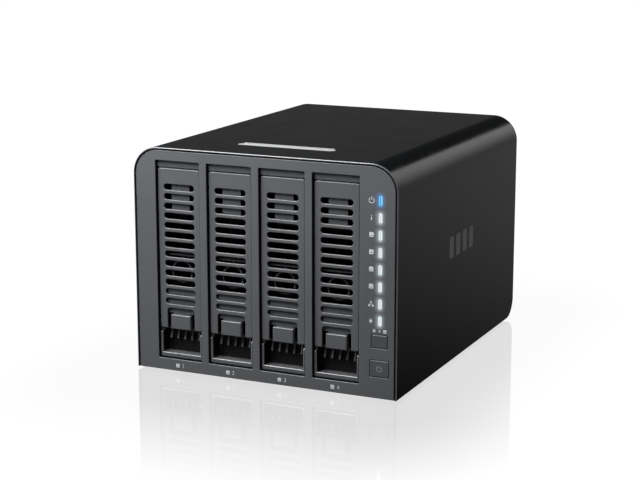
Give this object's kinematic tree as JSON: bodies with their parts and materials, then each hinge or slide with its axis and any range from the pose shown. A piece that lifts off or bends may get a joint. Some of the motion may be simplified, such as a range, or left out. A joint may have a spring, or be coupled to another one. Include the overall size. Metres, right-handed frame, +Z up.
{
  "type": "nas enclosure",
  "caption": "Desktop network storage enclosure with vertical drive trays, slotted hinged levers, sliding latches, status lights, push buttons and a rear fan in a rounded black sleeve.",
  "frame": {"origin": "on the surface the enclosure stands on, under the middle of its case", "axes": "+X to the right seen from the front, +Y to the rear, +Z up; the front faces -Y"},
  "size_m": [0.188, 0.235, 0.152],
  "materials": {
    "cover_black": "satin black powder coat",
    "bezel_grey": "fine-textured dark grey moulding",
    "tray_grey": "fine-textured dark grey moulding",
    "accent_silver": "satin",
    "steel": "galvanised sheet",
    "rear_paint": "matt black paint",
    "circuit_board": "green solder mask",
    "socket_black": "black connector plastic",
    "port_metal": "plated",
    "fan_black": "black moulding",
    "clear_guide": "clear moulding, lit from behind",
    "foot_rubber": "matt",
    "heatsink_alloy": "extruded"
  },
  "bodies": {
    "case": {"outer_cover": "cover_black", "accent_bar": "accent_silver", "front_bezel": "bezel_grey", "base_chassis": "steel", "light_guide": "clear_guide", "front_board": "circuit_board", "cage_wall_left": "steel", "cage_wall_right": "steel", "cage_floor": "steel", "cage_top": "steel", "backplane_board": "circuit_board", "mainboard": "circuit_board", "heatsink": "heatsink_alloy", "clock_battery": "port_metal", "lan_port": "port_metal", "usb_ports": "port_metal", "power_inlet": "socket_black", "rear_panel": "rear_paint", "fan_frame": "fan_black", "fan_lead": "socket_black", "foot_1": "foot_rubber", "sata_socket_1": "socket_black", "standoff_1": "port_metal", "fan_screw_1": "port_metal", "rear_screw_1": "port_metal", "foot_2": "foot_rubber", "sata_socket_2": "socket_black", "standoff_2": "port_metal", "fan_screw_2": "port_metal", "rear_screw_2": "port_metal", "foot_3": "foot_rubber", "sata_socket_3": "socket_black", "standoff_3": "port_metal", "fan_screw_3": "port_metal", "rear_screw_3": "port_metal", "foot_4": "foot_rubber", "sata_socket_4": "socket_black", "standoff_4": "port_metal", "fan_screw_4": "port_metal", "rear_screw_4": "port_metal"},
    "tray_1": {"drive_tray_1": "tray_grey", "lever_pin_1": "steel"},
    "lever_1": {"tray_lever_1": "bezel_grey"},
    "latch_1": {"lever_latch_1": "bezel_grey"},
    "tray_2": {"drive_tray_2": "tray_grey", "lever_pin_2": "steel"},
    "lever_2": {"tray_lever_2": "bezel_grey"},
    "latch_2": {"lever_latch_2": "bezel_grey"},
    "tray_3": {"drive_tray_3": "tray_grey", "lever_pin_3": "steel"},
    "lever_3": {"tray_lever_3": "bezel_grey"},
    "latch_3": {"lever_latch_3": "bezel_grey"},
    "tray_4": {"drive_tray_4": "tray_grey", "lever_pin_4": "steel"},
    "lever_4": {"tray_lever_4": "bezel_grey"},
    "latch_4": {"lever_latch_4": "bezel_grey"},
    "copy_button": {"copy_button": "tray_grey"},
    "power_button": {"power_button": "tray_grey"},
    "reset_button": {"reset_button": "socket_black"},
    "fan_rotor": {"fan_rotor": "fan_black"}
  },
  "joints": [
    {"name": "tray_1_slide", "type": "slide", "parent": "case", "child": "tray_1", "axis": [0, -1, 0], "range_m": [0, 0.175]},
    {"name": "lever_1_hinge", "type": "hinge", "parent": "tray_1", "child": "lever_1", "pos_m": [-0.0613, -0.1131, 0.136], "axis": [-1, 0, 0], "range_deg": [0, 75]},
    {"name": "latch_1_slide", "type": "slide", "parent": "lever_1", "child": "latch_1", "axis": [0, 0, 1], "range_m": [0, 0.003], "stiffness_N_per_m": 200, "springref_m": -0.002},
    {"name": "tray_2_slide", "type": "slide", "parent": "case", "child": "tray_2", "axis": [0, -1, 0], "range_m": [0, 0.175]},
    {"name": "lever_2_hinge", "type": "hinge", "parent": "tray_2", "child": "lever_2", "pos_m": [-0.0236, -0.1131, 0.136], "axis": [-1, 0, 0], "range_deg": [0, 75]},
    {"name": "latch_2_slide", "type": "slide", "parent": "lever_2", "child": "latch_2", "axis": [0, 0, 1], "range_m": [0, 0.003], "stiffness_N_per_m": 200, "springref_m": -0.002},
    {"name": "tray_3_slide", "type": "slide", "parent": "case", "child": "tray_3", "axis": [0, -1, 0], "range_m": [0, 0.175]},
    {"name": "lever_3_hinge", "type": "hinge", "parent": "tray_3", "child": "lever_3", "pos_m": [0.0141, -0.1131, 0.136], "axis": [-1, 0, 0], "range_deg": [0, 75]},
    {"name": "latch_3_slide", "type": "slide", "parent": "lever_3", "child": "latch_3", "axis": [0, 0, 1], "range_m": [0, 0.003], "stiffness_N_per_m": 200, "springref_m": -0.002},
    {"name": "tray_4_slide", "type": "slide", "parent": "case", "child": "tray_4", "axis": [0, -1, 0], "range_m": [0, 0.175]},
    {"name": "lever_4_hinge", "type": "hinge", "parent": "tray_4", "child": "lever_4", "pos_m": [0.0518, -0.1131, 0.136], "axis": [-1, 0, 0], "range_deg": [0, 75]},
    {"name": "latch_4_slide", "type": "slide", "parent": "lever_4", "child": "latch_4", "axis": [0, 0, 1], "range_m": [0, 0.003], "stiffness_N_per_m": 200, "springref_m": -0.002},
    {"name": "copy_button_press", "type": "slide", "parent": "case", "child": "copy_button", "axis": [0, 1, 0], "range_m": [0, 0.001], "stiffness_N_per_m": 400, "springref_m": -0.001},
    {"name": "power_button_press", "type": "slide", "parent": "case", "child": "power_button", "axis": [0, 1, 0], "range_m": [0, 0.001], "stiffness_N_per_m": 400, "springref_m": -0.001},
    {"name": "reset_button_press", "type": "slide", "parent": "case", "child": "reset_button", "axis": [0, -1, 0], "range_m": [0, 0.0006], "stiffness_N_per_m": 300, "springref_m": -0.0006},
    {"name": "fan_spin", "type": "hinge", "parent": "case", "child": "fan_rotor", "pos_m": [0, 0.0967, 0.088], "axis": [0, 1, 0], "continuous": true}
  ]
}
